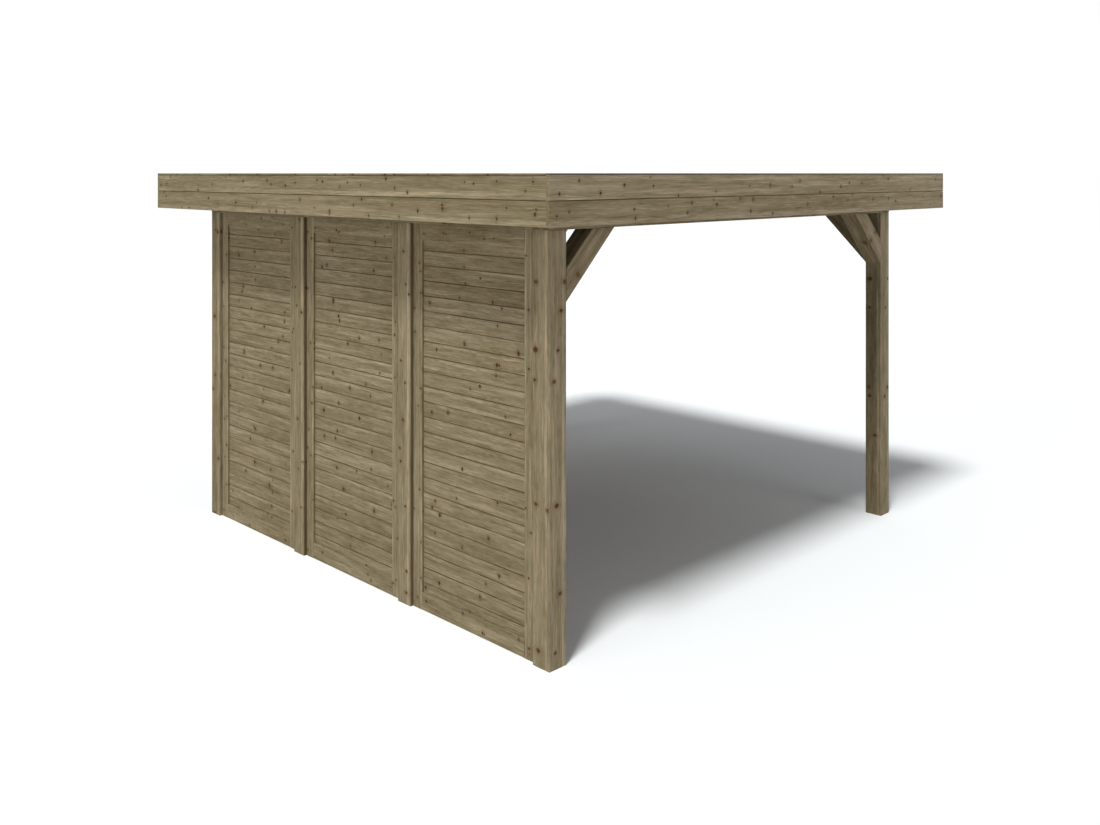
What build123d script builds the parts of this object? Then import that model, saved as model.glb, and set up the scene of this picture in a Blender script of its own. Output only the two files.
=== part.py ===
# Timber garden gazebo, flat roof, one boarded side, in millimetres.
# The origin is the centre of the footprint on the ground. +X runs along the front to the
# right, +Y from the front to the back, and +Z up. The boarded side is the left one.
from build123d import *
import os

# Plan of the posts
post_size = 120
bay_pitch = 1110
bay_count = 3
arris_radius = 6

# Heights of the frame
post_height = 2160
beam_height = 120
rafter_width = 45
rafter_height = 95
deck_thickness = 18
felt_thickness = 3
kerb_height = 44

# Roof edge
overhang = 275
fascia_thickness = 22
lower_board_height = 120
beam_reveal = 32
edge_round = 3
shadow_gap = 2
tongue_width = 6
tongue_height = 8
tongue_play = 0.3
rim_width = 45
rim_lift = 20
lath_width = 40
lath_height = 10
hem_layers = 2

# Knee braces at 45 degrees, as thick as the posts
brace_leg_length = 360
brace_depth = 120

# Wall panels between the posts of the left side
panel_setback = 20
frame_depth = 45
stile_width = 80
rail_height = 97
board_thickness = 19
board_setback = 12
frame_round = 4
board_cover = 84.4
joint_depth = 3
groove_depth = 12
groove_play = 0.3

# Roof timbers lie on a grid that divides the distance between corner post centres
roof_grid_count = 6

# Worked out from the sizes above
post_run = bay_pitch * bay_count
frame_span = post_run + post_size
half_span = frame_span / 2
half_roof = half_span + overhang
inner_half = half_roof - fascia_thickness
beam_top = post_height + beam_height
rafter_top = beam_top + rafter_height
deck_top = rafter_top + deck_thickness
felt_top = deck_top + felt_thickness
roof_top = felt_top + kerb_height
fascia_bottom = post_height + beam_reveal
fascia_joint = fascia_bottom + lower_board_height
rim_bottom = fascia_bottom + rim_lift
roof_grid = post_run / roof_grid_count
panel_width = bay_pitch - post_size
rail_length = panel_width - 2 * stile_width
boarding_opening = post_height - 2 * rail_height
groove_width = board_thickness + 2 * groove_play
groove_inset = board_setback - groove_play

sides = {"front": 0, "right": 90, "back": 180, "left": 270}
end_sides = ("front", "back")


def side_plane(side, depth, start, height):
    """Plane across a side: its x points inwards, its y up, and its normal along the side.

    depth is the distance of the plane's origin from the centre, start its place along the side.
    """
    inward = Vector(0, 1, 0).rotate(Axis.Z, sides[side])
    along = Vector(1, 0, 0).rotate(Axis.Z, sides[side])
    origin = along * start - inward * depth + Vector(0, 0, height)
    return Plane(origin=origin, x_dir=inward, z_dir=along)


def save(piece, label):
    """Name a finished piece and write it to its own file."""
    piece.part.label = label
    export_step(piece.part, f"parts/{label}.step")


def make_post(x, y):
    """Square post with rounded arrises, standing on the ground."""
    with BuildPart() as post:
        with BuildSketch(Plane.XY):
            with Locations((x, y)):
                RectangleRounded(post_size, post_size, arris_radius)
        extrude(amount=post_height)
    return post


def make_beam(side):
    """Ring beam on the post tops, half lapped over its neighbours at the corners."""
    lap_low = 0 if side not in end_sides else beam_height / 2
    with BuildPart() as beam:
        with BuildSketch(side_plane(side, half_span, -half_span, post_height)):
            with Locations((post_size / 2, beam_height / 2)):
                RectangleRounded(post_size, beam_height, arris_radius)
        extrude(amount=frame_span)
        for start in (-half_span, half_span - post_size):
            with BuildSketch(side_plane(side, half_span, start, post_height + lap_low)):
                Rectangle(post_size, beam_height / 2, align=(Align.MIN, Align.MIN))
            extrude(amount=post_size, mode=Mode.SUBTRACT)
    return beam


def make_brace(corner, along):
    """Knee brace from the side of a post up to the underside of the beam.

    corner is where the post's side meets the beam on the centre line of the frame, and along
    points from the post along the beam.
    """
    inner_leg = brace_leg_length - brace_depth * 2**0.5
    with BuildPart() as brace:
        with BuildSketch(Plane(origin=corner, x_dir=along, z_dir=along.cross(Vector(0, 0, 1)))):
            with BuildLine():
                Polyline(
                    (0, -brace_leg_length),
                    (brace_leg_length, 0),
                    (inner_leg, 0),
                    (0, -inner_leg),
                    close=True,
                )
            make_face()
        extrude(amount=post_size / 2, both=True)
        slope = Axis((0, 0, 0), along + Vector(0, 0, 1))
        fillet(brace.edges().filter_by(slope), radius=arris_radius)
    return brace


def make_rim(side):
    """Joist on edge round the roof, that the fascia boards are fixed to."""
    start = inner_half if side in end_sides else inner_half - rim_width
    with BuildPart() as rim:
        with BuildSketch(side_plane(side, inner_half, -start, rim_bottom)):
            Rectangle(rim_width, rafter_top - rim_bottom, align=(Align.MIN, Align.MIN))
        extrude(amount=2 * start)
    return rim


def board_reach(side):
    """Half the length of a fascia board: front and back boards lap over the ends of the others."""
    return half_roof if side in end_sides else inner_half


def felt_edge(side):
    """Top of the felt where it is folded over the fascia, and the thickness of that fold.

    A lath clamps it on the left and right, and at the front and back its edge is hemmed.
    """
    if side in end_sides:
        return roof_top, hem_layers * felt_thickness
    return roof_top - lath_height, felt_thickness


def make_upper_board(side):
    """Upper fascia board, grooved along its lower edge, with its outer lip cut back."""
    reach = board_reach(side)
    top, fold = felt_edge(side)
    lip = (fascia_thickness - tongue_width) / 2 - tongue_play
    with BuildPart() as board:
        with BuildSketch(side_plane(side, half_roof, -reach, fascia_joint)) as section:
            Rectangle(fascia_thickness, top - fold - fascia_joint, align=(Align.MIN, Align.MIN))
            Rectangle(lip, shadow_gap, align=(Align.MIN, Align.MIN), mode=Mode.SUBTRACT)
            fillet(section.vertices().group_by(Axis.X)[0], radius=edge_round)
            with Locations((fascia_thickness / 2, 0)):
                Rectangle(
                    tongue_width + 2 * tongue_play,
                    tongue_height + tongue_play,
                    align=(Align.CENTER, Align.MIN),
                    mode=Mode.SUBTRACT,
                )
        extrude(amount=2 * reach)
    return board


def make_lower_board(side):
    """Lower fascia board, with a tongue along its upper edge."""
    reach = board_reach(side)
    with BuildPart() as board:
        with BuildSketch(side_plane(side, half_roof, -reach, fascia_bottom)) as section:
            Rectangle(fascia_thickness, lower_board_height, align=(Align.MIN, Align.MIN))
            fillet(section.vertices().group_by(Axis.X)[0], radius=edge_round)
            with Locations((fascia_thickness / 2, lower_board_height)):
                Rectangle(tongue_width, tongue_height, align=(Align.CENTER, Align.MIN))
        extrude(amount=2 * reach)
    return board


def make_lath(side):
    """Lath that clamps the roofing felt along a side."""
    reach = inner_half - felt_thickness
    with BuildPart() as lath:
        with BuildSketch(side_plane(side, half_roof, -reach, roof_top - lath_height)) as section:
            Rectangle(lath_width, lath_height, align=(Align.MIN, Align.MIN))
            fillet(section.vertices().group_by(Axis.Y)[-1], radius=edge_round)
        extrude(amount=2 * reach)
    return lath


def make_stiles(bay):
    """Two uprights of a panel, each grooved on the edge that faces the boards."""
    centre = panel_centre(bay)
    face = -half_span + panel_setback
    with BuildPart() as stiles:
        with BuildSketch(Plane.XY):
            for way in (-1, 1):
                with Locations((face + frame_depth / 2, centre + way * (panel_width - stile_width) / 2)):
                    RectangleRounded(frame_depth, stile_width, frame_round)
                with Locations(
                    (
                        face + groove_inset + groove_width / 2,
                        centre + way * (rail_length + groove_depth) / 2,
                    )
                ):
                    Rectangle(groove_width, groove_depth, mode=Mode.SUBTRACT)
        extrude(amount=post_height)
    return stiles


def make_rails(bay):
    """Bottom and top rail of a panel, grooved for the boards, with stub tenons at their ends."""
    centre = panel_centre(bay)
    face = -half_span + panel_setback
    tenon_length = groove_depth - groove_play
    section_plane = Plane(origin=(face, centre, 0), x_dir=(1, 0, 0), z_dir=(0, -1, 0))
    with BuildPart() as rails:
        with BuildSketch(section_plane):
            for height, lip in ((0, rail_height), (post_height - rail_height, 0)):
                with Locations((frame_depth / 2, height + rail_height / 2)):
                    RectangleRounded(frame_depth, rail_height, frame_round)
                with Locations((groove_inset, height + lip)):
                    Rectangle(
                        groove_width,
                        groove_depth,
                        align=(Align.MIN, Align.MAX if lip else Align.MIN),
                        mode=Mode.SUBTRACT,
                    )
        extrude(amount=rail_length / 2, both=True)
        with BuildSketch(section_plane):
            for height in (0, post_height - rail_height + groove_depth):
                with Locations((board_setback, height)):
                    Rectangle(
                        board_thickness, rail_height - groove_depth, align=(Align.MIN, Align.MIN)
                    )
        extrude(amount=rail_length / 2 + tenon_length, both=True)
    return rails


def make_boarding(bay):
    """Boarding of a panel, with a V joint on both faces between one board and the next."""
    centre = panel_centre(bay)
    face = -half_span + panel_setback + board_setback
    tuck = groove_depth - groove_play
    joint_count = int(boarding_opening / 2 / board_cover)
    section_plane = Plane(
        origin=(face, centre, post_height / 2), x_dir=(1, 0, 0), z_dir=(0, -1, 0)
    )
    with BuildPart() as boarding:
        with BuildSketch(section_plane):
            with Locations((board_thickness / 2, 0)):
                Rectangle(board_thickness, boarding_opening + 2 * tuck)
            for step in range(-joint_count, joint_count + 1):
                with Locations((0, step * board_cover), (board_thickness, step * board_cover)):
                    Rectangle(
                        joint_depth * 2**0.5,
                        joint_depth * 2**0.5,
                        rotation=45,
                        mode=Mode.SUBTRACT,
                    )
        extrude(amount=rail_length / 2 + tuck, both=True)
    return boarding


def panel_centre(bay):
    """Place of a panel's middle along the left side, counted from the front."""
    return -post_run / 2 + (bay + 0.5) * bay_pitch


os.makedirs("parts", exist_ok=True)

# Posts: one at each corner and two more along the boarded side
post_middle = post_run / 2
post_places = {
    "post_front_left": (-post_middle, -post_middle),
    "post_front_right": (post_middle, -post_middle),
    "post_back_left": (-post_middle, post_middle),
    "post_back_right": (post_middle, post_middle),
}
for step in range(1, bay_count):
    post_places[f"post_wall_{step}"] = (-post_middle, -post_middle + step * bay_pitch)
for label, (x, y) in post_places.items():
    save(make_post(x, y), label)

# Ring beams and the rim round the roof
for side in sides:
    save(make_beam(side), f"beam_{side}")
    save(make_rim(side), f"rim_{side}")

# Knee braces in the open sides
brace_foot = half_span - post_size
brace_places = {
    "brace_front_left": ((-brace_foot, -post_middle), Vector(1, 0, 0)),
    "brace_front_right": ((brace_foot, -post_middle), Vector(-1, 0, 0)),
    "brace_back_left": ((-brace_foot, post_middle), Vector(1, 0, 0)),
    "brace_back_right": ((brace_foot, post_middle), Vector(-1, 0, 0)),
    "brace_right_front": ((post_middle, -brace_foot), Vector(0, 1, 0)),
    "brace_right_back": ((post_middle, brace_foot), Vector(0, -1, 0)),
}
for label, ((x, y), along) in brace_places.items():
    save(make_brace(Vector(x, y, post_height), along), label)

# Rafters from side to side
rafter_reach = inner_half - rim_width
with BuildPart() as rafters:
    with BuildSketch(Plane.YZ):
        for step in range(1, roof_grid_count):
            with Locations((-post_middle + step * roof_grid, beam_top + rafter_height / 2)):
                RectangleRounded(rafter_width, rafter_height, edge_round)
    extrude(amount=rafter_reach, both=True)
save(rafters, "rafters")

# Lookouts, that carry the front and back overhang from the outermost rafters
lookout_start = post_middle - roof_grid + rafter_width / 2
lookout_length = rafter_reach - lookout_start
for side in end_sides:
    with BuildPart() as lookouts:
        with BuildSketch(Plane.XZ.offset(lookout_start if side == "front" else -rafter_reach)):
            for step in range(roof_grid_count + 1):
                with Locations((-post_middle + step * roof_grid, beam_top + rafter_height / 2)):
                    RectangleRounded(rafter_width, rafter_height, edge_round)
        extrude(amount=lookout_length)
    save(lookouts, f"lookouts_{side}")

# Roof deck
with BuildPart() as deck:
    with BuildSketch(Plane.XY.offset(rafter_top)):
        Rectangle(2 * inner_half, 2 * inner_half)
    extrude(amount=deck_thickness)
save(deck, "roof_deck")

# Roofing felt: it lies on the deck, rises inside the fascia and is folded over its top edge
with BuildPart() as felt:
    with BuildSketch(Plane.XY.offset(deck_top)):
        Rectangle(2 * inner_half, 2 * inner_half)
    extrude(amount=felt_thickness)
    for side in sides:
        top, fold = felt_edge(side)
        reach = board_reach(side)
        with BuildSketch(side_plane(side, inner_half, -inner_half, deck_top)):
            Rectangle(felt_thickness, top - deck_top, align=(Align.MIN, Align.MIN))
        extrude(amount=2 * inner_half)
        with BuildSketch(side_plane(side, half_roof, -reach, top - fold)):
            Rectangle(fascia_thickness + felt_thickness, fold, align=(Align.MIN, Align.MIN))
        extrude(amount=2 * reach)
save(felt, "roof_felt")

# Fascia boards, and the laths of the left and right
for side in sides:
    save(make_upper_board(side), f"fascia_{side}_upper")
    save(make_lower_board(side), f"fascia_{side}_lower")
    if side not in end_sides:
        save(make_lath(side), f"lath_{side}")

# Wall panels of the left side, counted from the front
for bay in range(bay_count):
    save(make_stiles(bay), f"panel_{bay + 1}_stiles")
    save(make_rails(bay), f"panel_{bay + 1}_rails")
    save(make_boarding(bay), f"panel_{bay + 1}_boarding")
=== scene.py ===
# Square timber gazebo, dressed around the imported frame: planed, pressure-treated pine with
# knots and growth rings, tongued wall boards, a boarded roof deck and mineral felt on top.
import math
import random
import bmesh
import bpy
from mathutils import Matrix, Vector, noise


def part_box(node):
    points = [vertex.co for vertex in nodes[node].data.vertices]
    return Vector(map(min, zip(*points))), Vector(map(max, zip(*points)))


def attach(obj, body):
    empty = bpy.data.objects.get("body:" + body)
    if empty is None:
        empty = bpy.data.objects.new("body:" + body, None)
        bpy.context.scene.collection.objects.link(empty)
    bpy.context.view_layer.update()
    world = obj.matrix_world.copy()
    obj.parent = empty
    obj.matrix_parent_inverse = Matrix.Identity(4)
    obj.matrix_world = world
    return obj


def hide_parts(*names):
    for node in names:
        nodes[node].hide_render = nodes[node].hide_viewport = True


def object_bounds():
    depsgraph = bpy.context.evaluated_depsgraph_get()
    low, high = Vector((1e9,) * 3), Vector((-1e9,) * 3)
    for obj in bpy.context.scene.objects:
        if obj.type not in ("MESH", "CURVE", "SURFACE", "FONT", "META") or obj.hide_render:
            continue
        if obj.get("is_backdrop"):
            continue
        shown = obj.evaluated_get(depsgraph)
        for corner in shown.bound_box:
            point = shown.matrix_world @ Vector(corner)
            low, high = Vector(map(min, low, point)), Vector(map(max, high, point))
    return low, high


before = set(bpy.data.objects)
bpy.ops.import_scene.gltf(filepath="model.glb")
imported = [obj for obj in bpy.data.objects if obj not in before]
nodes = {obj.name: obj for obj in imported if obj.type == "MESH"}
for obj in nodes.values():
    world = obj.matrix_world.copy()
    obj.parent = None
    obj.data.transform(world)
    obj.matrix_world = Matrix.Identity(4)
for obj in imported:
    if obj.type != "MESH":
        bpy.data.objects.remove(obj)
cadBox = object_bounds()
print("frame loaded:", len(nodes), "nodes")


# Shader graph helpers
class Wire:
    # one output socket, so that shader maths reads as plain arithmetic
    def __init__(self, graph, socket):
        self.graph = graph
        self.socket = socket

    def maths(self, operation, first, second=0.0):
        inputs = {0: first, 1: second}
        return self.graph.node("ShaderNodeMath", {"operation": operation}, inputs)

    def __add__(self, other):
        return self.maths("ADD", self, other)

    def __radd__(self, other):
        return self.maths("ADD", other, self)

    def __sub__(self, other):
        return self.maths("SUBTRACT", self, other)

    def __rsub__(self, other):
        return self.maths("SUBTRACT", other, self)

    def __mul__(self, other):
        return self.maths("MULTIPLY", self, other)

    def __rmul__(self, other):
        return self.maths("MULTIPLY", other, self)

    def __truediv__(self, other):
        return self.maths("DIVIDE", self, other)

    def __pow__(self, other):
        return self.maths("POWER", self, other)

    def __lt__(self, other):
        return self.maths("LESS_THAN", self, other)

    def __abs__(self):
        return self.maths("ABSOLUTE", self)

    def __floor__(self):
        return self.maths("FLOOR", self)

    def __round__(self):
        return self.maths("ROUND", self)

    def sine(self):
        return self.maths("SINE", self)

    def highest(self, other):
        return self.maths("MAXIMUM", self, other)


class Graph:
    # the node tree of one material, or of the world
    def __init__(self, tree):
        self.tree = tree
        self.tree.nodes.clear()

    def node(self, kind, settings=None, inputs=None, output=0):
        made = self.tree.nodes.new(kind)
        for name, value in (settings or {}).items():
            if name == "stops":
                self.setStops(made.color_ramp, value)
            else:
                setattr(made, name, value)
        for name, value in (inputs or {}).items():
            if isinstance(value, Wire):
                self.tree.links.new(value.socket, made.inputs[name])
            else:
                made.inputs[name].default_value = value
        return Wire(self, made.outputs[output]) if made.outputs else None

    def setStops(self, ramp, stops):
        while len(ramp.elements) < len(stops):
            ramp.elements.new(0.5)
        for element, (place, colour) in zip(ramp.elements, stops):
            element.position = place
            element.color = colour

    def output(self, wire, socket):
        return Wire(self, wire.socket.node.outputs[socket])

    def split(self, colour):
        red = self.node("ShaderNodeSeparateColor", None, {0: colour})
        return red, self.output(red, 1), self.output(red, 2)

    def vector(self, operation, first, second=(0, 0, 0), output=0):
        settings = {"operation": operation}
        return self.node("ShaderNodeVectorMath", settings, {0: first, 1: second}, output)

    def dot(self, first, second):
        return self.vector("DOT_PRODUCT", first, second, 1)

    def length(self, vector):
        return self.vector("LENGTH", vector, output=1)

    def join(self, x, y, z):
        return self.node("ShaderNodeCombineXYZ", None, {0: x, 1: y, 2: z})

    def noise(self, place, detail, roughness=0.5):
        inputs = {"Vector": place, "Scale": 1.0, "Detail": detail, "Roughness": roughness}
        return self.node("ShaderNodeTexNoise", {"noise_dimensions": "3D"}, inputs)

    def draw(self, dimensions, seed, output="Color"):
        # random values between 0 and 1, the same wherever the seed is the same
        socket = "W" if dimensions == "1D" else "Vector"
        settings = {"noise_dimensions": dimensions}
        return self.node("ShaderNodeTexWhiteNoise", settings, {socket: seed}, output)

    def smooth(self, value, start, end, low=0.0, high=1.0):
        settings = {"interpolation_type": "SMOOTHSTEP"}
        inputs = {0: value, 1: start, 2: end, 3: low, 4: high}
        return self.node("ShaderNodeMapRange", settings, inputs)

    def blend(self, factor, first, second):
        inputs = {0: factor, 6: first, 7: second}
        return self.node("ShaderNodeMix", {"data_type": "RGBA"}, inputs, 2)

    def surface(self, colour, roughness, gloss, height, depth):
        relief = {"Strength": 0.6, "Distance": depth, "Height": height}
        inputs = {"Base Color": colour, "Roughness": roughness, "Specular IOR Level": gloss}
        inputs["Normal"] = self.node("ShaderNodeBump", None, relief)
        shader = self.node("ShaderNodeBsdfPrincipled", None, inputs)
        self.node("ShaderNodeOutputMaterial", None, {"Surface": shader})


def startMaterial(name):
    material = bpy.data.materials.new(name)
    material.use_nodes = True
    return material, Graph(material.node_tree)


def rgb(red, green, blue):
    # a colour as it looks on the screen, made linear
    def linear(value):
        value = value / 255
        return value / 12.92 if value <= 0.04045 else ((value + 0.055) / 1.055) ** 2.4

    return (linear(red), linear(green), linear(blue), 1)


# Planed, pressure-treated pine; lengths in metres
pine = {
    "deep": rgb(123, 110, 80),
    "pale": rgb(119, 110, 89),
    "rosy": rgb(122, 106, 83),
    # layers of the grain: marks per metre along and across it, and how strong they are
    "band": (1.3, 26, 0.85),
    "cloud": (8, 24, 0.55),
    "streak": (6, 80, 1.0),
    "fine": (22, 200, 0.95),
    "fibre": (60, 1150, 0.3),
    "hair": (4, 200, 0.28),
    "resin": (7, 150, 0.22),
    # how far the grain wanders and ripples, and how far the heart of the log lies below the face
    "meander": 0.02,
    "ripple": 0.011,
    "pith": 0.05,
    "ringWidth": 0.0046,
    "ringDepth": 0.08,
    # rows of knots: their spacing and the share of places that have one; least and largest radius
    "knotRows": ((0.41, 0.8), (0.67, 0.8)),
    "knotSize": (0.0065, 0.0135),
    "knot": rgb(36, 20, 5),
    "knotRing": rgb(84, 58, 29),
    # the tone of the whole, how far pieces differ in it, and how much darker end grain is
    "tone": 1.0,
    "pieceRange": 0.08,
    "endDepth": 0.14,
    # a light band: its distance from an edge, half width, strength and unevenness
    "stripe": (0.024, 0.0125, 0.4, 0.2),
    # the painted highlight on the rounded arris: its width, and how much lighter it is
    "arris": (0.0045, 0.16),
    # painted shade along a joint, with some dirt: how far it stays full, where it ends, its strength
    # and unevenness
    "seam": (0.0016, 0.0045, 0.7, 0.75),
    "seamShadeAndDirt": rgb(64, 47, 20),
    # painted shade in a corner with a panel: how far it reaches, and its strength
    "recess": None,
    "roughness": 0.76,
    "gloss": 0.2,
}

# What all pieces of pine share; lengths in metres
wood = {
    # how far apart the seeds of one node's solids are, and how far along the grain pieces start
    "seedStep": 0.137,
    "startRange": 41,
    # marks per metre of the two wanders, and of the ripple along and across the grain
    "wanderMarks": (0.9, 1.3),
    "rippleMarks": (6, 13),
    # how far the heart of the log varies in its place, sideways and in depth
    "pithRange": (0.07, 0.04),
    "lateSharpness": 3,
    "earlyLight": 0.3,
    "endRings": 0.08,
    "layerRoughness": 0.55,
    # where something starts and where it is full, and for some how strong it is
    "endFacing": (0.75, 0.9),
    "resin": (0.7, 0.8),
    "hair": (0.62, 0.76),
    "lightBand": (0.54, 0.64, 0.12),
    "rosy": (0.52, 0.68, 0.55),
    "greying": (0.6, 1.4),
    "stripeComes": (0.38, 0.62),
    "shadeAndDirtComes": (0.3, 0.55),
    # how far a light band strays from its line with the wander and with the ripple
    "stripeStray": (0.006, 0.012),
    # the share of its width over which a light band, an arris's painted highlight or a corner's
    # painted shade stays full
    "stripeCore": 0.35,
    "arrisCore": 0.4,
    "recessCore": 0.8,
    # how strongly the parts of a knot colour the wood
    "halo": 0.26,
    "tail": 0.45,
    "knotRing": 0.85,
    "heart": 0.95,
    "relief": 0.0008,
}

# How a knot is drawn; lengths in metres
knotShape = {
    # how far knots keep from an edge, and how they are shortened along the grain
    "margin": 0.009,
    "squash": 1.25,
    # where in its stretch of the piece a whorl can sit: the start and the range, as shares
    "whorl": (0.2, 0.6),
    # the dark line of grain through a knot: where it is full and where it ends
    "tailWidth": (0.0008, 0.0042),
    "tailLength": (0.008, 0.075),
    # full and ended at so many radii, and how dark the faintest knot is
    "halo": (0.8, 3.2),
    "ring": (0.75, 1.25),
    "ringLeast": 0.65,
    "heart": (0.5, 1.05),
    "heartLeast": 0.55,
    # the share of its distance from a knot's middle by which the grain bends
    "bend": 0.7,
    # marks per metre of the ragged outline, and the least and range of its factor
    "raggedMarks": 110,
    "ragged": (0.7, 0.6),
    # so many radii are added where a place has no knot
    "away": 9,
}


def grainFrame(graph, size, directions, shift, repeat):
    # a piece's own coordinates: along the grain, across its face and through its depth, from
    # the middle of the piece, and a number that tells the piece from its like
    coordinates = graph.node("ShaderNodeTexCoord", None, None, "Generated")
    normal = graph.output(coordinates, "Normal")
    middle = graph.vector("SUBTRACT", coordinates, (0.5, 0.5, 0.5))
    place = graph.vector("MULTIPLY", middle, size)
    own = graph.node("ShaderNodeObjectInfo", None, None, "Random")
    number = 0.0
    parts = [graph.dot(place, direction) - offset for direction, offset in zip(directions, shift)]
    facing = [graph.dot(normal, direction) for direction in directions]
    if repeat:
        count, pitch = repeat
        number = math.floor(parts[1] / pitch + count / 2)
        parts[1] = parts[1] - (number - (count - 1) / 2) * pitch
        own = own + number * wood["seedStep"]
    return parts, facing, own, number


def faceSide(parts, facing, half):
    # the face's own sideways coordinate, to the right as seen from outside, and its half width
    side = facing[1] * parts[2] - facing[2] * parts[1]
    reach = abs(facing[1]) * half[1] + abs(facing[2]) * half[0]
    return side, reach


def knotRow(graph, look, row, along, side, reach, face, chance):
    # one row of knots, a few along the piece: they grow in whorls, at the same height all
    # round. The factors of chance and row only set the random draws apart
    spacing, share = look["knotRows"][row]
    low, high = look["knotSize"]
    step = along / spacing
    cell = math.floor(step)
    height = graph.draw("3D", graph.join(cell, chance * 83 + row * 7, 0.0), "Value")
    drawn = graph.draw("3D", graph.join(cell, chance * 59 + row * 11, face + 17.0))
    placeChance, sizeChance, keepChance = graph.split(drawn)
    kept = keepChance < share
    whorlStart, whorlRange = knotShape["whorl"]
    lengthways = (step - cell - whorlStart - height * whorlRange) * spacing * knotShape["squash"]
    sideways = side - (placeChance * 2 - 1) * (reach - knotShape["margin"])
    distance = graph.length(graph.join(lengthways, sideways, 0.0))
    nearness = distance / (low + sizeChance * (high - low))
    darkness = height * 7 + placeChance * 5
    darkness = darkness - math.floor(darkness)
    tail = graph.smooth(abs(sideways), *knotShape["tailWidth"], 1.0, 0.0)
    tail = tail * graph.smooth(abs(lengthways), *knotShape["tailLength"], 1.0, 0.0)
    tail = tail * kept * darkness
    halo = graph.smooth(nearness, *knotShape["halo"], 1.0, 0.0) * kept
    push = sideways * halo * knotShape["bend"]
    return nearness + (1 - kept) * knotShape["away"], darkness, halo, tail, push


def knotMarks(graph, look, *where):
    # knots with a reddish ring and a dark heart, and how the grain bends round them
    along, side, reach, face, chance = where
    firstNear, firstDark, firstHalo, firstTail, firstPush = knotRow(graph, look, 0, *where)
    nextNear, nextDark, nextHalo, nextTail, nextPush = knotRow(graph, look, 1, *where)
    marks = knotShape["raggedMarks"]
    ragged = graph.noise(graph.join(along * marks, side * marks, face), 1.0)
    least, unevenness = knotShape["ragged"]
    ringLeast = knotShape["ringLeast"]
    heartLeast = knotShape["heartLeast"]
    ring = 0.0
    heart = 0.0
    for near, dark in ((firstNear, firstDark), (nextNear, nextDark)):
        near = near * (least + ragged * unevenness)
        ringShade = ringLeast + dark * (1 - ringLeast)
        heartShade = heartLeast + dark * (1 - heartLeast)
        ring = graph.smooth(near, *knotShape["ring"], 1.0, 0.0) * ringShade + ring
        heart = graph.smooth(near, *knotShape["heart"], 1.0, 0.0) * heartShade + heart
    return ring, heart, firstHalo + nextHalo, firstTail + nextTail, firstPush + nextPush


def bendGrain(graph, look, parts, facing, start, push, draws):
    # the grain wanders along the piece, ripples, and bends round its knots; the factors of the
    # random draws only set the pieces apart
    along, across, deep = parts
    first, second, third = draws
    marks, marksDeep = wood["wanderMarks"]
    wander = graph.noise(graph.join(along * marks, first * 19, second * 7), 1.0) - 0.5
    wanderDeep = graph.noise(graph.join(along * marksDeep, third * 23, first * 11), 1.0) - 0.5
    lengthways, sideways = wood["rippleMarks"]
    place = graph.join(start * lengthways, across * sideways, deep * sideways)
    found = graph.output(graph.noise(place, 2.0), "Color")
    ripple, rippleDeep, unevenness = graph.split(found)
    ripple = (ripple - 0.5) * look["ripple"]
    rippleDeep = (rippleDeep - 0.5) * look["ripple"]
    across = across + facing[2] * push + wander * look["meander"] + ripple
    deep = deep - facing[1] * push + wanderDeep * look["meander"] + rippleDeep
    return across, deep, wander, unevenness


def lateWood(graph, look, across, deep, draws):
    # growth rings round the heart of the log: 1 in their dark late wood and 0 between them
    first, second, third = draws
    asideRange, depthRange = wood["pithRange"]
    aside = across - (second - 0.5) * asideRange
    radius = graph.length(graph.join(aside, deep + look["pith"] + third * depthRange, 0.0))
    turn = radius * (2 * math.pi / look["ringWidth"]) + first * 6
    return (turn.sine() * 0.5 + 0.5) ** wood["lateSharpness"]


def lightStripe(graph, look, edge, start, own, wander, unevenness):
    # a light band that keeps to one edge, and comes and goes along the piece
    place, width, strength, fade = look["stripe"]
    comes = graph.noise(graph.join(start * 1.1, own * 37, 0.0), 1.0)
    comes = graph.smooth(comes, *wood["stripeComes"])
    stray, strayRipple = wood["stripeStray"]
    away = abs(edge - place + wander * stray + (unevenness - 0.5) * strayRipple)
    stripe = graph.smooth(away, width * wood["stripeCore"], width, strength, 0.0)
    return stripe * (1 - fade + comes * fade)


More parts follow.
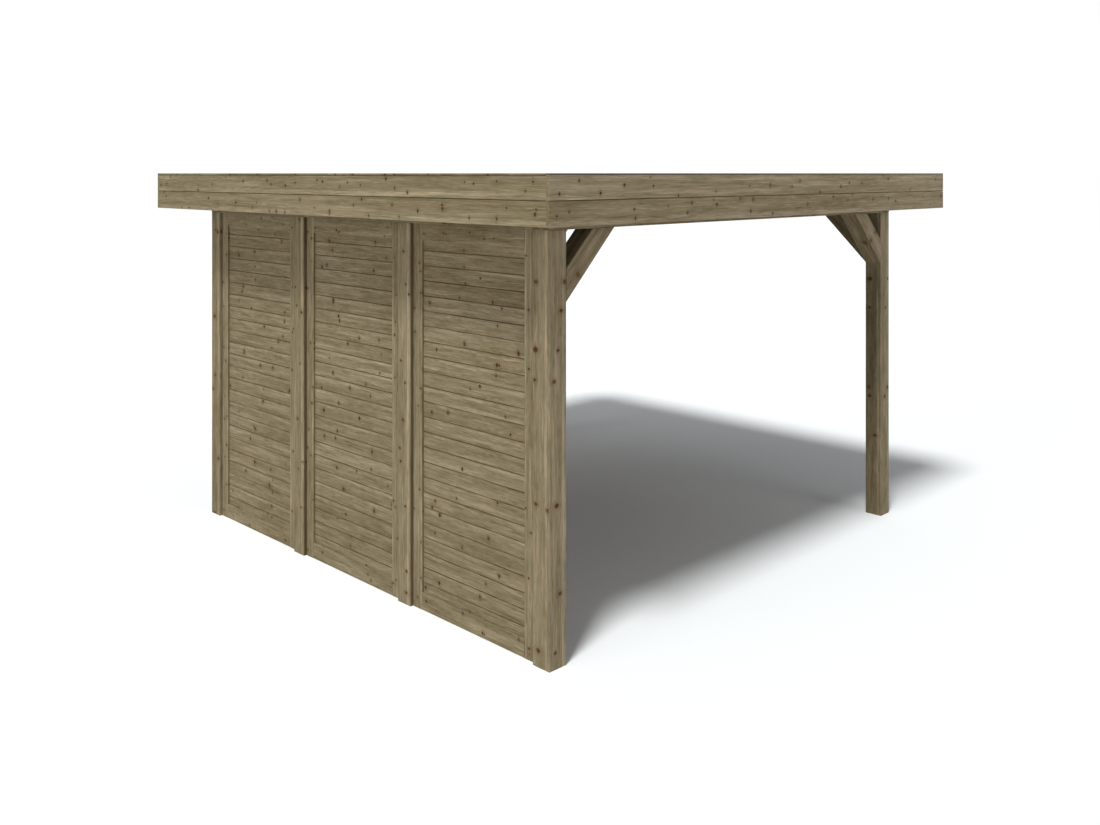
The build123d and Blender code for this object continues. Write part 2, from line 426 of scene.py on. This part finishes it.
def timber(name, grain, look, half):
    # grain is called with the graph and gives the piece's coordinates; half is half its width
    # and depth
    material, graph = startMaterial(name)
    parts, facing, own, edge, seam = grain(graph)
    end = graph.smooth(abs(facing[0]), *wood["endFacing"])
    flat = 1 - end
    draws = graph.split(graph.draw("1D", own))
    start = parts[0] + draws[0] * wood["startRange"]
    side, reach = faceSide(parts, facing, half)
    face = round(facing[2]) * 3 + round(facing[1])
    knots = knotMarks(graph, look, start, side, reach, face, draws[0])
    ring, heart, halo, tail, push = [mark * flat for mark in knots]
    across, deep, wander, unevenness = bendGrain(graph, look, parts, facing, start, push, draws)
    late = lateWood(graph, look, across, deep, draws)

    # bands, clouds, streaks, fine lines and fibres, all longer along the grain than across it
    def marks(layer):
        lengthways, sideways, strength = look[layer]
        return graph.join(start * lengthways, across * sideways, deep * sideways), strength

    def shading(layer, detail):
        place, strength = marks(layer)
        found = graph.noise(place, detail, wood["layerRoughness"])
        return found, (found - 0.5) * strength

    band, bandShade = shading("band", 2.0)
    cloud, cloudShade = shading("cloud", 3.0)
    streakShade = shading("streak", 3.0)[1]
    fine, fineShade = shading("fine", 2.0)
    fibre, fibreShade = shading("fibre", 1.0)
    resinPlace, resinStrength = marks("resin")
    resin = graph.smooth(graph.noise(resinPlace, 0.0), *wood["resin"])
    hairPlace, hairStrength = marks("hair")
    hairPlace = graph.vector("ADD", hairPlace, (9, 0, 0))
    hair = graph.smooth(graph.noise(hairPlace, 0.0), *wood["hair"], 0.0, hairStrength) * flat

    bandStart, bandFull, bandLight = wood["lightBand"]
    light = graph.smooth(band, bandStart, bandFull) * bandLight
    shade = look["tone"] + bandShade + light + cloudShade + streakShade + fineShade + fibreShade
    ringDepth = look["ringDepth"] * 2 * band + end * wood["endRings"]
    shade = shade * (1 + ringDepth * wood["earlyLight"] - late * ringDepth)
    shade = shade * (1 - resin * resinStrength + hair)
    shade = shade * (1 + (draws[2] - 0.5) * look["pieceRange"]) * (1 - end * look["endDepth"])
    if edge is not None:
        stripe = lightStripe(graph, look, edge, start, own, wander, unevenness)
        shade = shade * (1 + stripe * flat)
    # a painted highlight along each arris of every face
    width, strength = look["arris"]
    arrisHighlight = graph.smooth(reach - abs(side), width * wood["arrisCore"], width, strength, 0.0)
    shade = shade * (1 + arrisHighlight * flat)

    # the lighter the wood, the greyer
    colour = graph.blend(graph.smooth(shade, *wood["greying"]), look["deep"], look["pale"])
    rosyStart, rosyFull, rosyStrength = wood["rosy"]
    rosy = graph.smooth(cloud, rosyStart, rosyFull) * rosyStrength
    colour = graph.blend(rosy, colour, look["rosy"])
    colour = graph.vector("MULTIPLY", colour, graph.join(shade, shade, shade))
    colour = graph.blend(halo * wood["halo"], colour, look["knotRing"])
    colour = graph.blend(tail * wood["tail"], colour, look["knotRing"])
    colour = graph.blend(ring * wood["knotRing"], colour, look["knotRing"])
    colour = graph.blend(heart * wood["heart"], colour, look["knot"])
    # painted shade along a joint, made uneven by dirt
    if seam is not None:
        narrow, wide, strength, fade = look["seam"]
        jointShadeAndDirt = graph.noise(graph.join(start * 4, own * 91, across * 30), 2.0)
        jointShadeAndDirt = 1 - fade + graph.smooth(jointShadeAndDirt, *wood["shadeAndDirtComes"]) * fade
        jointShadeAndDirt = graph.smooth(seam, narrow, wide, strength, 0.0) * jointShadeAndDirt
        colour = graph.blend(jointShadeAndDirt * flat, colour, look["seamShadeAndDirt"])
    # painted shade on the side faces of a post next to a panel, where the corner lies in shade
    if look["recess"]:
        away, strength = look["recess"]
        cornerShade = graph.smooth(parts[1] + half[0], away, away * wood["recessCore"])
        cornerShade = cornerShade * abs(facing[2])
        colour = graph.blend(cornerShade * strength, colour, look["seamShadeAndDirt"])

    height = fibre * 0.6 + fine * 0.3 - late * 0.25 - heart * 0.5 - resin * 0.4
    roughness = look["roughness"] - late * 0.06 - ring * 0.12 + fibre * 0.08
    graph.surface(colour, roughness, look["gloss"], height, wood["relief"])
    return material


# Directions of the grain, as (along, across, through the depth)
axisX = (1, 0, 0)
axisY = (0, 1, 0)
axisZ = (0, 0, 1)


def sizeOf(name):
    low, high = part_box(name)
    return tuple(high - low)


def edgeWire(kind, parts, facing, number, half):
    # distance from the edge of a face that a light stripe or a line of painted shade and dirt keeps
    # to
    if kind == "right":  # the right-hand edge of every face
        side, reach = faceSide(parts, facing, half)
        return reach - side
    if kind == "inner":  # of two mirrored pieces, the edges that face each other
        return half[0] - parts[1] * (1 - 2 * number)
    if kind == "low":
        return parts[1] + half[0]
    if kind == "high":
        return half[0] - parts[1]
    if kind == "both":
        return half[0] - abs(parts[1])
    return None


def pineFor(name, size, directions, look, half=None, repeat=None, shift=(0, 0, 0), edge="", seam=""):
    if half is None:
        spans = [abs(Vector(size).dot(Vector(direction))) for direction in directions]
        half = (spans[1] / 2, spans[2] / 2)

    def grain(graph):
        parts, facing, own, number = grainFrame(graph, size, directions, shift, repeat)
        edges = [edgeWire(kind, parts, facing, number, half) for kind in (edge, seam)]
        return parts, facing, own, *edges

    return timber(name, grain, look, half)


def dress(names, slot, directions, look, **more):
    # one timber for CAD nodes of one size and grain
    material = pineFor(names[0] + "Pine", sizeOf(names[0]), directions, look, **more)
    for name in names:
        node = nodes[name]
        node.data.materials.clear()
        node.data.materials.append(material)


# Posts, ring beams and knee braces: square timber sawn near the heart of the log
square = {
    **pine,
    "streak": (5, 62, 0.95),
    "fine": (20, 180, 0.85),
    "ripple": 0.006,
    "pith": 0.01,
    "knotRows": ((0.62, 0.92), (0.97, 0.85)),
    "knotSize": (0.0105, 0.02),
    "knot": rgb(50, 27, 10),
    "knotRing": rgb(95, 61, 31),
    "tone": 0.97,
    "arris": (0.007, 0.3),
}
# the near post is painted lighter than the other posts: painted light
nearSquare = {**square, "tone": 1.09, "knotRows": ((0.45, 0.9), (0.67, 0.85))}
openSquare = {**square, "knot": rgb(62, 42, 22), "knotRing": rgb(98, 74, 44)}
wallSquare = {
    **square,
    "tone": 1.03,
    "knotRows": ((0.31, 0.85), (0.47, 0.8)),
    "knotSize": (0.006, 0.0125),
    "recess": (0.022, 0.6),
}
beamSquare = {**square, "pith": 0.02}
braceSquare = {**openSquare, "pith": 0.02}
openPosts = ["post_front_right", "post_back_left", "post_back_right"]
upright = (axisZ, axisX, axisY)
dress(["post_front_left"], "post_timber", upright, nearSquare, edge="right")
dress(openPosts, "post_timber", upright, openSquare, edge="right")
dress(["post_wall_1", "post_wall_2"], "post_timber", upright, wallSquare, edge="right")
dress(["beam_front", "beam_back"], "post_timber", (axisX, axisZ, axisY), beamSquare, edge="right")
dress(["beam_left", "beam_right"], "post_timber", (axisY, axisZ, axisX), beamSquare, edge="right")

slope = math.sqrt(0.5)
braceWays = {
    "brace_front_left": (1, 0),
    "brace_back_left": (1, 0),
    "brace_front_right": (-1, 0),
    "brace_back_right": (-1, 0),
    "brace_right_front": (0, 1),
    "brace_right_back": (0, -1),
}
braceHalf = sizeOf("brace_front_left")[1] / 2
for name, (x, y) in braceWays.items():
    directions = (
        (x * slope, y * slope, slope),
        (-x * slope, -y * slope, slope),
        (abs(y), abs(x), 0),
    )
    dress(
        [name], "post_timber", directions, braceSquare,
        half=(braceHalf, braceHalf), shift=(0, braceHalf, 0),
    )

# Fascia boards and laths
fascia = {
    **pine,
    "band": (0.8, 22, 0.9),
    "cloud": (4, 24, 0.45),
    "streak": (3.6, 84, 0.9),
    "fine": (13, 200, 0.85),
    "knotRows": ((0.27, 0.85), (0.21, 0.65)),
    "knotSize": (0.0055, 0.0105),
    "endDepth": 0.06,
    "stripe": (0.014, 0.022, 0.33, 0.1),
    "arris": (0.003, 0.0),
    "seam": (0.0034, 0.0056, 0.95, 0.1),
    "seamShadeAndDirt": rgb(56, 39, 11),
}
# a light band along an upper edge is narrower and fainter
highStripe = (0.02, 0.014, 0.18, 0.6)
frontGrain = (axisX, axisZ, axisY)
sideGrain = (axisY, axisZ, axisX)
# each board with its grain, the edge that its light band keeps to and its tone
fasciaBoards = {
    "fascia_front_upper": (frontGrain, "high", 1.0),
    "fascia_front_lower": (frontGrain, "low", 0.94),
    "fascia_back_upper": (frontGrain, "low", 1.0),
    "fascia_back_lower": (frontGrain, "high", 1.0),
    "fascia_left_upper": (sideGrain, "low", 0.96),
    "fascia_left_lower": (sideGrain, "low", 0.94),
    "fascia_right_upper": (sideGrain, "high", 1.0),
    "fascia_right_lower": (sideGrain, "low", 0.97),
}
for name, (directions, edge, tone) in fasciaBoards.items():
    look = {**fascia, "tone": tone}
    if edge == "high":
        look["stripe"] = highStripe
    seam = "low" if "upper" in name else "high"
    dress([name], "fascia_timber", directions, look, edge=edge, seam=seam)
# the laths are painted darker: painted shade along the roof's edge
lathPine = {**pine, "tone": 0.76}
dress(["lath_left", "lath_right"], "fascia_timber", (axisY, axisX, axisZ), lathPine)

# Roof timbers: rim joists, and rafters and lookouts that repeat at one pitch
roofPine = {**pine, "tone": 1.14}
rafterPine = {**roofPine, "pith": 0.02}
rafters = {"halfWidth": 0.0225, "count": 5, "lookouts": 7}
rafterSpan = sizeOf("rafters")
rafterHalf = (rafters["halfWidth"], rafterSpan[2] / 2)
rafterPitch = (rafterSpan[1] - 2 * rafters["halfWidth"]) / (rafters["count"] - 1)
dress(["rim_front", "rim_back"], "roof_timber", frontGrain, roofPine)
dress(["rim_left", "rim_right"], "roof_timber", sideGrain, roofPine)
dress(
    ["rafters"], "roof_timber", (axisX, axisY, axisZ), rafterPine,
    half=rafterHalf, repeat=(rafters["count"], rafterPitch),
)
dress(
    ["lookouts_front", "lookouts_back"], "roof_timber", (axisY, axisX, axisZ), rafterPine,
    half=rafterHalf, repeat=(rafters["lookouts"], rafterPitch),
)

# Frames of the wall panels
frameHalf = {"stile": 0.04, "rail": 0.0485, "depth": 0.0225}
panelPine = {
    **pine,
    "knotRows": ((0.23, 0.8), (0.37, 0.75)),
    "knotSize": (0.005, 0.0095),
    "stripe": (0.008, 0.008, 0.3, 0.25),
}
panelNames = [f"panel_{bay}" for bay in (1, 2, 3)]
stilePitch = sizeOf("panel_1_stiles")[1] - 2 * frameHalf["stile"]
railPitch = sizeOf("panel_1_rails")[2] - 2 * frameHalf["rail"]
dress(
    [name + "_stiles" for name in panelNames], "panel_timber", (axisZ, axisY, axisX), panelPine,
    half=(frameHalf["stile"], frameHalf["depth"]), repeat=(2, stilePitch), edge="inner",
)
dress(
    [name + "_rails" for name in panelNames], "panel_timber", sideGrain, panelPine,
    half=(frameHalf["rail"], frameHalf["depth"]), repeat=(2, railPitch),
)
print("frame timber dressed")


# Pieces made here
def addPiece(name, points, faces, material, slot, node):
    mesh = bpy.data.meshes.new(name)
    mesh.from_pydata(points, [], faces)
    made = bmesh.new()
    made.from_mesh(mesh)
    bmesh.ops.recalc_face_normals(made, faces=made.faces)
    made.to_mesh(mesh)
    made.free()
    mesh.materials.append(material)
    piece = bpy.data.objects.new(name, mesh)
    bpy.context.scene.collection.objects.link(piece)
    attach(piece, "root")
    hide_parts(node)


def addRun(points, faces, outline, place):
    # a straight length with this outline; place puts its point (p, q) at end -1 or 1
    first = len(points)
    count = len(outline)
    for way in (-1, 1):
        points += [place(p, q, way) for p, q in outline]
    faces.append(tuple(range(first, first + count)))
    faces.append(tuple(range(first + 2 * count - 1, first + count - 1, -1)))
    for step in range(count):
        after = (step + 1) % count
        faces.append((first + step, first + count + step, first + count + after, first + after))


# Tongued boards with a V joint on both faces; chamfer and half gap vary from joint to joint
boardCut = {
    "chamfer": (0.001, 0.003),
    "gap": (0.0001, 0.0008),
    "tongueWidth": 0.006,
    "tongueTaper": 0.8,
    "tongueReach": 0.006,
    "tonguePlay": 0.0003,
    "seat": 0.0006,
}


def boardOutline(low, high, thickness, lowCut, highCut):
    # a cut is a joint's chamfer and half its gap, or None at a board's plain edge; the first
    # number of each point is its depth, and the second runs from low to high
    middle = thickness / 2
    tongue = boardCut["tongueWidth"] / 2
    tip = tongue * boardCut["tongueTaper"]
    reach = boardCut["tongueReach"]
    groove = tongue + boardCut["tonguePlay"]
    outline = [(0, low), (thickness, low)]
    if lowCut:
        chamfer, gap = lowCut
        bottom = low + gap + reach + boardCut["tonguePlay"]
        outline = [
            (0, low + chamfer), (chamfer, low + gap),
            (middle - groove, low + gap), (middle - groove, bottom),
            (middle + groove, bottom), (middle + groove, low + gap),
            (thickness - chamfer, low + gap), (thickness, low + chamfer),
        ]
    if not highCut:
        return outline + [(thickness, high), (0, high)]
    chamfer, gap = highCut
    return outline + [
        (thickness, high - chamfer), (thickness - chamfer, high - gap),
        (middle + tongue, high - gap), (middle + tip, high + reach),
        (middle - tip, high + reach), (middle - tongue, high - gap),
        (chamfer, high - gap), (0, high - chamfer),
    ]


def addBoards(name, node, material, slot, joints, thickness, place, chances):
    # boards between the given joint lines; each sits a little further in or out than the next
    points = []
    faces = []
    cut = None
    for number, (low, high) in enumerate(zip(joints, joints[1:])):
        lowCut = cut
        cut = (chances.uniform(*boardCut["chamfer"]), chances.uniform(*boardCut["gap"]))
        if number == len(joints) - 2:
            cut = None
        seatLow = chances.uniform(0, boardCut["seat"])
        seatHigh = chances.uniform(0, boardCut["seat"])

        def put(p, q, way):
            lean = seatLow + (seatHigh - seatLow) * (q - low) / (high - low)
            return place(p + min(max(lean, 0), boardCut["seat"]), q, way)

        outline = boardOutline(low, high, thickness - boardCut["seat"], lowCut, cut)
        addRun(points, faces, outline, put)
    addPiece(name, points, faces, material, slot, node)


wallBoards = {"cover": 0.0844, "halfDepth": 0.0095, "seed": 5, "tall": 24}
wallPine = {
    **pine,
    "knotRows": ((0.57, 0.75), (0.83, 0.6)),
    "pieceRange": 0.14,
    "stripe": (0.013, 0.013, 0.28, 0.85),
    "arris": (0.004, 0.05),
}
wallMaterial = pineFor(
    "wallBoardPine", sizeOf("panel_1_boarding"), sideGrain, wallPine,
    half=(wallBoards["cover"] / 2, wallBoards["halfDepth"]),
    repeat=(wallBoards["tall"], wallBoards["cover"]), edge="high", seam="both",
)
chances = random.Random(wallBoards["seed"])
for panel in panelNames:
    low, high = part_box(panel + "_boarding")
    middle = (low.z + high.z) / 2
    steps = range(1 - wallBoards["tall"] // 2, wallBoards["tall"] // 2)
    joints = [low.z] + [middle + step * wallBoards["cover"] for step in steps] + [high.z]

    def placeWall(p, q, way):
        return (low.x + p, high.y if way > 0 else low.y, q)

    addBoards(
        panel + "_boards", panel + "_boarding", wallMaterial, "boarding_timber", joints,
        high.x - low.x, placeWall, chances,
    )

roofBoards = {"count": 41, "halfDepth": 0.009, "seed": 8}
deckLow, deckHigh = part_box("roof_deck")
deckCover = (deckHigh.x - deckLow.x) / roofBoards["count"]
deckPine = {**roofPine, "tone": 1.2, "pieceRange": 0.16}
deckMaterial = pineFor(
    "deckBoardPine", sizeOf("roof_deck"), (axisY, axisX, axisZ), deckPine,
    half=(deckCover / 2, roofBoards["halfDepth"]), repeat=(roofBoards["count"], deckCover),
    seam="both",
)
deckJoints = [deckLow.x + step * deckCover for step in range(roofBoards["count"] + 1)]


def placeDeck(p, q, way):
    return (q, deckHigh.y if way > 0 else deckLow.y, deckLow.z + p)


addBoards(
    "roof_boards", "roof_deck", deckMaterial, "deck_timber", deckJoints,
    deckHigh.z - deckLow.z, placeDeck, random.Random(roofBoards["seed"]),
)
print("boards laid")

# Mineral felt: lapped strips on the deck, and an upstand that turns over each fascia board
felt = {
    "rollWidth": 1.0,
    "lap": 0.08,
    "lapStep": 0.0004,
    "lapEase": 0.015,
    "easeRow": 0.016,
    "thickness": 0.0026,
    "ripple": 0.0007,
    "rippleSize": 0.35,
    "columns": 90,
    "rowStep": 0.045,
    "skin": 0.003,
    "foot": 0.1,
    "cove": 0.02,
    "coveSteps": 6,
    # speckles: marks per metre along x, y and z
    "grit": (900, 900, 900),
    "clump": (160, 160, 160),
    "patch": (1.4, 1.4, 1.4),
    "stain": (3.5, 0.8, 3.5),
    # the shades of the grit, and how much rolls differ: the least and the range
    "shades": [(0.3, rgb(31, 26, 20)), (0.5, rgb(56, 50, 42)), (0.72, rgb(100, 94, 84))],
    "rollTone": (0.9, 0.16),
    # bitumen at each lap: full and ended at so many metres, how ragged, and how strong
    "bitumen": rgb(24, 22, 20),
    "bleed": (0.004, 0.01),
    "bleedRagged": 0.012,
    "bleedStrength": 0.8,
    "roughness": 0.94,
    "gloss": 0.3,
    "relief": 0.0012,
}
feltLow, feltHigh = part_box("roof_felt")
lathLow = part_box("lath_left")[0].z
feltPitch = felt["rollWidth"] - felt["lap"]


def mineralFelt():
    # mineral grit, a little different from roll to roll, with bitumen showing along each lap
    material, graph = startMaterial("mineralFelt")
    place = graph.node("ShaderNodeTexCoord", None, None, "Object")
    line = graph.node("ShaderNodeSeparateXYZ", None, {0: place}, 1)

    def speckle(kind, detail):
        return graph.noise(graph.vector("MULTIPLY", place, felt[kind]), detail, 0.6)

    grit = speckle("grit", 1.0)
    clump = speckle("clump", 2.0)
    patch = speckle("patch", 4.0)
    stain = speckle("stain", 3.0)
    strip = (line - feltLow.y) / feltPitch
    beside = (strip - math.floor(strip)) * feltPitch
    roll = graph.draw("1D", math.floor(strip), "Value")
    tone = grit * 0.5 + clump * 0.25 + patch * 0.15 + stain * 0.1
    colour = graph.node("ShaderNodeValToRGB", {"stops": felt["shades"]}, {"Fac": tone})
    least, rollRange = felt["rollTone"]
    shade = least + roll * rollRange
    colour = graph.vector("MULTIPLY", colour, graph.join(shade, shade, shade))
    ragged = (clump - 0.5) * felt["bleedRagged"]
    bleed = graph.smooth(beside + ragged, *felt["bleed"], 1.0, 0.0)
    colour = graph.blend(bleed * felt["bleedStrength"], colour, felt["bitumen"])
    roughness = felt["roughness"] - bleed * 0.4
    graph.surface(colour, roughness, felt["gloss"], grit + clump * 0.4, felt["relief"])
    return material


def feltHeight(x, y):
    # top of the strips: one thickness, two at a lap, and a slight ripple
    start = (y - deckLow.y) % feltPitch
    lapped = y - deckLow.y > felt["lap"] + start and start < felt["lap"]
    easing = felt["lap"] + felt["lapEase"] - start
    rise = 1.0 if lapped else 0.0
    if not lapped and y - deckLow.y > felt["rollWidth"] and 0 < easing < felt["lapEase"]:
        rise = easing / felt["lapEase"]
    ripple = noise.noise(Vector((x, y, 0)) / felt["rippleSize"]) * felt["ripple"]
    return felt["thickness"] * (1 + rise) + ripple + felt["ripple"]


def addStrips(points, faces):
    # one sheet with the strips' heights, closed below
    length = deckHigh.y - deckLow.y
    rows = [deckLow.y, deckHigh.y]
    for step in range(1, int(length / felt["rowStep"])):
        rows.append(deckLow.y + step * felt["rowStep"])
    for step in range(1, int(length / feltPitch) + 1):
        edge = deckLow.y + step * feltPitch
        lapEnd = edge + felt["lap"]
        rows += [edge - felt["lapStep"], edge + felt["lapStep"]]
        rows += [lapEnd, lapEnd + felt["easeRow"]]
    rows.sort()
    columns = felt["columns"]
    width = (deckHigh.x - deckLow.x) / (columns - 1)
    for y in rows:
        for column in range(columns):
            x = deckLow.x + column * width
            points.append((x, y, deckHigh.z + feltHeight(x, y)))
    for row in range(len(rows) - 1):
        for column in range(columns - 1):
            first = row * columns + column
            faces.append((first, first + 1, first + columns + 1, first + columns))
    rim = list(range(columns))
    rim += [row * columns + columns - 1 for row in range(1, len(rows))]
    rim += [(len(rows) - 1) * columns + column for column in range(columns - 2, -1, -1)]
    rim += [row * columns for row in range(len(rows) - 2, 0, -1)]
    base = len(points)
    points += [(points[number][0], points[number][1], deckHigh.z) for number in rim]
    for step in range(len(rim)):
        after = (step + 1) % len(rim)
        faces.append((rim[after], rim[step], base + step, base + after))
    faces.append(tuple(range(base + len(rim) - 1, base - 1, -1)))


def addUpstand(points, faces, turn, top, fold, square):
    # one side's upstand with a cove at the deck, mitred at the corners, and its hem over the
    # fascia board; turn is the side's angle, and a square hem runs on to the roof's corners
    roof = feltHigh.x
    board = roof - deckHigh.x
    skin = felt["skin"]
    bend = felt["cove"]
    foot = deckHigh.z + 2 * felt["thickness"] + 2 * felt["ripple"]
    angle = math.radians(turn)
    cosine = round(math.cos(angle))
    sine = round(math.sin(angle))
    hemReach = roof if square else roof - board

    def spin(inward, height, sideways):
        x = sideways
        y = inward - roof
        return (x * cosine - y * sine, x * sine + y * cosine, height)

    def placeMitred(p, q, way):
        return spin(p, q, way * (roof - p))

    def placeHem(p, q, way):
        return spin(p, q, way * hemReach)

    outline = [(board, top - fold), (board, foot), (board + felt["foot"], foot)]
    outline += [(board + felt["foot"], foot + skin)]
    for step in range(felt["coveSteps"] + 1):
        part = math.radians(90 * step / felt["coveSteps"])
        away = bend * (1 - math.sin(part))
        outline.append((board + skin + away, foot + skin + bend * (1 - math.cos(part))))
    outline.append((board + skin, top - fold))
    addRun(points, faces, outline, placeMitred)
    soft = skin / 3
    outline = [
        (0, top - fold), (board + skin, top - fold), (board + skin, top - soft),
        (board + skin - soft, top), (soft, top), (0, top - soft),
    ]
    addRun(points, faces, outline, placeHem)


def addFelt():
    # two layers fold over the front and back boards, and one runs under each lath
    points = []
    faces = []
    addStrips(points, faces)
    addUpstand(points, faces, 0, feltHigh.z, 2 * felt["skin"], True)
    addUpstand(points, faces, 90, lathLow, felt["skin"], False)
    addUpstand(points, faces, 180, feltHigh.z, 2 * felt["skin"], True)
    addUpstand(points, faces, 270, lathLow, felt["skin"], False)
    addPiece("roof_felting", points, faces, mineralFelt(), "roofing_felt", "roof_felt")


addFelt()
print("felt laid")


# Floor, light and camera
studio = {
    "floorSize": 80.0,
    "floorSeen": (1.025, 1.06, 1.065, 1),
    "floorBounce": (0.76, 0.735, 0.68, 1),
    "skyStrength": 0.105,
    "skyColour": (0.98, 1.0, 1.05, 1),
}
# each lamp with the way its light goes, its strength, its angular size in degrees and its colour
lamps = {
    "sun": ((0.51, 0.19, -0.95), 2.57, 12.0, (1.0, 1.0, 1.0)),
    "front": ((0.0, 0.98, 0.0), 1.77, 36.0, (0.99, 0.975, 1.09)),
    "side": ((0.97, -0.18, -0.04), 1.4, 36.0, (1.0, 0.985, 0.94)),
    "top": ((0.0, 0.0, -1.0), 0.36, 90.0, (1.0, 1.0, 1.0)),
    "back": ((-0.72, -0.69, -0.01), 0.9, 6.0, (1.0, 1.0, 1.0)),
}


def seenRays(graph):
    # 1 for what the camera sees, directly or in a gloss, and 0 for the light that falls on things
    direct = graph.node("ShaderNodeLightPath", None, None, "Is Camera Ray")
    return direct.highest(graph.output(direct, "Is Glossy Ray"))


def makeFloor():
    half = studio["floorSize"] / 2
    mesh = bpy.data.meshes.new("floor")
    corners = [(-half, -half, 0), (half, -half, 0), (half, half, 0), (-half, half, 0)]
    mesh.from_pydata(corners, [], [(0, 1, 2, 3)])
    floor = bpy.data.objects.new("floor", mesh)
    bpy.context.scene.collection.objects.link(floor)
    material, graph = startMaterial("paleFloor")
    bounce = graph.node("ShaderNodeBsdfDiffuse", None, {"Color": studio["floorBounce"]})
    seen = graph.node("ShaderNodeBsdfDiffuse", None, {"Color": studio["floorSeen"]})
    shader = graph.node("ShaderNodeMixShader", None, {0: seenRays(graph), 1: bounce, 2: seen})
    graph.node("ShaderNodeOutputMaterial", None, {"Surface": shader})
    mesh.materials.append(material)
    floor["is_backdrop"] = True


def makeWorld():
    world = bpy.data.worlds.new("studio")
    bpy.context.scene.world = world
    world.use_nodes = True
    graph = Graph(world.node_tree)
    inputs = {"Color": studio["skyColour"], "Strength": studio["skyStrength"]}
    sky = graph.node("ShaderNodeBackground", None, inputs)
    white = graph.node("ShaderNodeBackground", None, {"Color": (1, 1, 1, 1), "Strength": 1.0})
    shader = graph.node("ShaderNodeMixShader", None, {0: seenRays(graph), 1: sky, 2: white})
    graph.node("ShaderNodeOutputWorld", None, {"Surface": shader})


def addLamp(name, way, strength, angle, colour):
    lamp = bpy.data.lights.new(name, "SUN")
    lamp.energy = strength
    lamp.color = colour
    lamp.angle = math.radians(angle)
    light = bpy.data.objects.new(name, lamp)
    bpy.context.scene.collection.objects.link(light)
    light.rotation_euler = Vector(way).to_track_quat("-Z", "Y").to_euler()


makeFloor()
makeWorld()
for name, lamp in lamps.items():
    addLamp(name, *lamp)

# The photograph is level, taken from the roof's height on the diagonal of the near corner
view = {
    "corner": (-1.725, -1.725),
    "distance": (3.624, 3.639),
    "height": 2.439,
    "heading": 44.91,
    "focalPixels": 1051.56,
    "horizonPixels": 173.5,
    "imageSize": (1100, 825),
    "sensorWidth": 36.0,
}
scene = bpy.context.scene
lens = bpy.data.cameras.new("camera")
camera = bpy.data.objects.new("camera", lens)
scene.collection.objects.link(camera)
camera.location = (
    view["corner"][0] - view["distance"][0],
    view["corner"][1] - view["distance"][1],
    view["height"],
)
camera.rotation_euler = (math.radians(90), 0, math.radians(-view["heading"]))
lens.sensor_width = view["sensorWidth"]
lens.lens = view["focalPixels"] / view["imageSize"][0] * view["sensorWidth"]
lens.shift_y = (view["horizonPixels"] - view["imageSize"][1] / 2) / view["imageSize"][0]
scene.camera = camera
scene.view_settings.view_transform = "Standard"
print("studio ready")

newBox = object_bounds()
sizes = {"cad": [list(corner) for corner in cadBox], "visual": [list(corner) for corner in newBox]}
